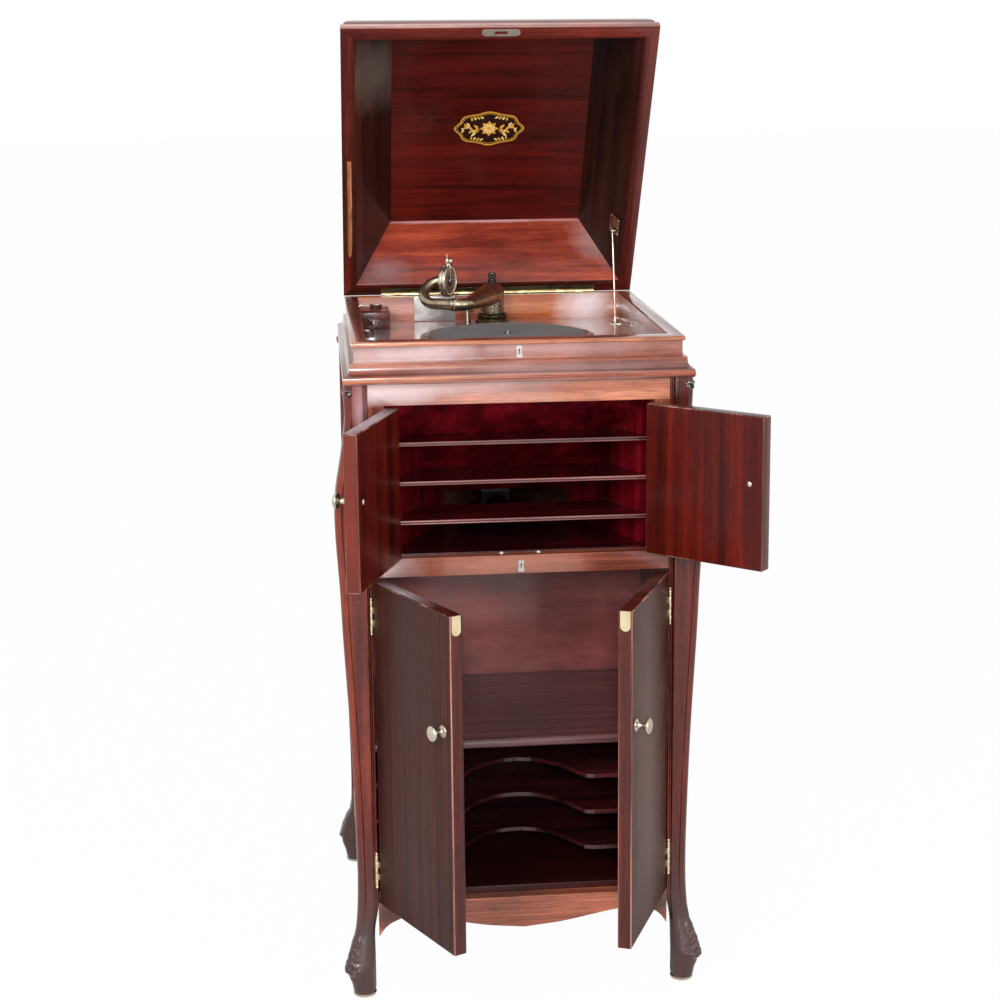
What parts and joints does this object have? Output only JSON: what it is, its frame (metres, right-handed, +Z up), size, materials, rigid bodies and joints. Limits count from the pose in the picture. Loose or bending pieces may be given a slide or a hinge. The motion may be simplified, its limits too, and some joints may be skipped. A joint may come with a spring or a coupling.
{
  "type": "gramophone",
  "caption": "Floor-standing gramophone: a cabinet on shaped posts with doors over a wooden horn and record shelves, and a lidded motor box with turntable and tone arm.",
  "frame": {"origin": "the floor under the middle of the box round the whole object, with its doors and lid open as pictured", "axes": "+X to the right of someone facing the doors, +Y from the doors to the back, +Z up"},
  "size_m": [0.6348, 0.8118, 1.4828],
  "materials": {
    "post_wood": "glossy reddish brown",
    "rail_wood": "glossy orange brown",
    "door_wood": "satin dark brown",
    "upper_door_wood": "glossy red brown",
    "inside_wood": "mottled red brown",
    "shelf_wood": "glossy purple brown",
    "horn_wood": "glossy crimson",
    "lid_wood": "glossy red mahogany",
    "back_wood": "plain brown",
    "brass": "worn polish",
    "nickel": "worn nickel plate",
    "bronze_nickel": "worn nickel over bronze",
    "iron": "black enamel",
    "steel": "plain",
    "felt": "dark grey felt"
  },
  "bodies": {
    "cabinet": {"posts": "post_wood", "floor_glides": "nickel", "waist_moulding": "rail_wood", "motor_box": "lid_wood", "motor_board": "lid_wood", "side_panels": "post_wood", "back_panel": "back_wood", "front_rails": "rail_wood", "upper_stiles": "rail_wood", "aprons": "rail_wood", "bottom_board": "inside_wood", "middle_shelf": "shelf_wood", "false_back": "inside_wood", "record_shelves": "inside_wood", "horn_walls": "horn_wood", "horn_floor": "horn_wood", "horn_slats": "horn_wood", "horn_duct": "back_wood", "horn_elbow": "iron", "door_hinge_jamb_leaves": "brass", "door_hinge_pins": "brass", "ball_catches": "brass", "escutcheons": "brass", "lid_hinge_lower_leaf": "brass", "stay_guide": "nickel", "motor_frame": "iron", "tone_arm_base": "nickel", "board_fittings": "lid_wood"},
    "left_upper_door": {"left_upper_door": "upper_door_wood", "left_upper_hinge_leaves": "brass", "left_upper_knob": "nickel"},
    "right_upper_door": {"right_upper_door": "upper_door_wood", "right_upper_hinge_leaves": "brass", "right_upper_knob": "nickel"},
    "left_lower_door": {"left_lower_door": "door_wood", "left_lower_hinge_leaves": "brass", "left_lower_knob": "nickel"},
    "right_lower_door": {"right_lower_door": "door_wood", "right_lower_hinge_leaves": "brass", "right_lower_knob": "nickel"},
    "lid": {"lid_frame": "lid_wood", "lid_top": "lid_wood", "lid_hinge_upper_leaf": "brass", "strike_plate": "nickel", "stay_bracket": "nickel"},
    "stay_rod": {"stay_rod": "nickel"},
    "turntable": {"turntable": "nickel", "turntable_felt": "felt", "turntable_spindle": "steel"},
    "spring_barrel": {"spring_barrel": "steel"},
    "winding_gear": {"winding_gear": "brass"},
    "winding_shaft": {"winding_shaft": "steel"},
    "governor": {"governor": "brass"},
    "tone_arm": {"tone_arm": "bronze_nickel"},
    "gooseneck": {"gooseneck": "nickel", "soundbox": "nickel"},
    "needle_screw": {"needle_screw": "nickel"},
    "brake_lever": {"brake_lever": "nickel"},
    "stop_rod": {"stop_rod": "nickel"},
    "speed_regulator": {"speed_regulator": "nickel"}
  },
  "joints": [
    {"name": "lid_hinge", "type": "hinge", "parent": "cabinet", "child": "lid", "pos_m": [-0.03364, 0.34524, 1.022], "axis": [-1, 0, 0], "range_deg": [-56.28, 0]},
    {"name": "stay_rod_pivot", "type": "hinge", "parent": "lid", "child": "stay_rod", "pos_m": [0.17536, 0.29454, 1.13039], "axis": [-1, 0, 0], "range_deg": [0, 16.61]},
    {"name": "left_lower_door_hinge", "type": "hinge", "parent": "cabinet", "child": "left_lower_door", "pos_m": [-0.26014, -0.19826, 0.4], "axis": [0, 0, -1], "range_deg": [-62.9, 32.1]},
    {"name": "right_lower_door_hinge", "type": "hinge", "parent": "cabinet", "child": "right_lower_door", "pos_m": [0.19286, -0.19826, 0.4], "axis": [0, 0, 1], "range_deg": [-67, 28]},
    {"name": "left_upper_door_hinge", "type": "hinge", "parent": "cabinet", "child": "left_upper_door", "pos_m": [-0.23429, -0.19576, 0.811], "axis": [0, 0, -1], "range_deg": [-109.4, 32.6]},
    {"name": "right_upper_door_hinge", "type": "hinge", "parent": "cabinet", "child": "right_upper_door", "pos_m": [0.16701, -0.19576, 0.811], "axis": [0, 0, 1], "range_deg": [-138.1, 3.9]},
    {"name": "turntable_spin", "type": "hinge", "parent": "cabinet", "child": "turntable", "pos_m": [-0.02464, 0.08594, 0.9775], "axis": [0, 0, 1], "continuous": true},
    {"name": "barrel_turn", "type": "hinge", "parent": "cabinet", "child": "spring_barrel", "pos_m": [-0.07864, 0.08594, 0.9035], "axis": [0, 0, 1], "continuous": true},
    {"name": "governor_turn", "type": "hinge", "parent": "cabinet", "child": "governor", "pos_m": [0.00416, 0.08594, 0.933], "axis": [0, 1, 0], "continuous": true},
    {"name": "winding_shaft_turn", "type": "hinge", "parent": "cabinet", "child": "winding_shaft", "pos_m": [-0.03364, 0.11874, 0.933], "axis": [1, 0, 0], "continuous": true},
    {"name": "winding_gear_turn", "type": "hinge", "parent": "cabinet", "child": "winding_gear", "pos_m": [-0.07864, 0.08594, 0.933], "axis": [0, 0, 1], "continuous": true},
    {"name": "tone_arm_swing", "type": "hinge", "parent": "cabinet", "child": "tone_arm", "pos_m": [-0.03064, 0.29494, 1.028], "axis": [0, 0, 1], "range_deg": [-10, 68]},
    {"name": "gooseneck_turn", "type": "hinge", "parent": "tone_arm", "child": "gooseneck", "pos_m": [-0.10355, 0.1589, 1.028], "axis": [0.8894, -0.4571, 0], "range_deg": [0, 137]},
    {"name": "needle_screw_turn", "type": "hinge", "parent": "gooseneck", "child": "needle_screw", "pos_m": [-0.11245, 0.19999, 1.09535], "axis": [0.8894, -0.4571, 0], "range_deg": [-90, 360]},
    {"name": "brake_lever_turn", "type": "hinge", "parent": "cabinet", "child": "brake_lever", "pos_m": [-0.13974, -0.032, 0.9775], "axis": [0, 0, 1], "range_deg": [-8, 3]},
    {"name": "stop_rod_turn", "type": "hinge", "parent": "cabinet", "child": "stop_rod", "pos_m": [-0.07164, 0.31554, 0.9775], "axis": [0, 0, 1], "range_deg": [-25, 25]},
    {"name": "speed_regulator_turn", "type": "hinge", "parent": "cabinet", "child": "speed_regulator", "pos_m": [0.13836, -0.10606, 0.9775], "axis": [0, 0, 1], "range_deg": [-60, 60]}
  ],
  "couplings": [
    {"joint": "stay_rod_pivot", "follows": "lid_hinge", "ratio": -0.2934},
    {"joint": "barrel_turn", "follows": "turntable_spin", "ratio": -0.17391},
    {"joint": "governor_turn", "follows": "turntable_spin", "ratio": 12.5},
    {"joint": "winding_gear_turn", "follows": "winding_shaft_turn", "ratio": 0.041667}
  ]
}
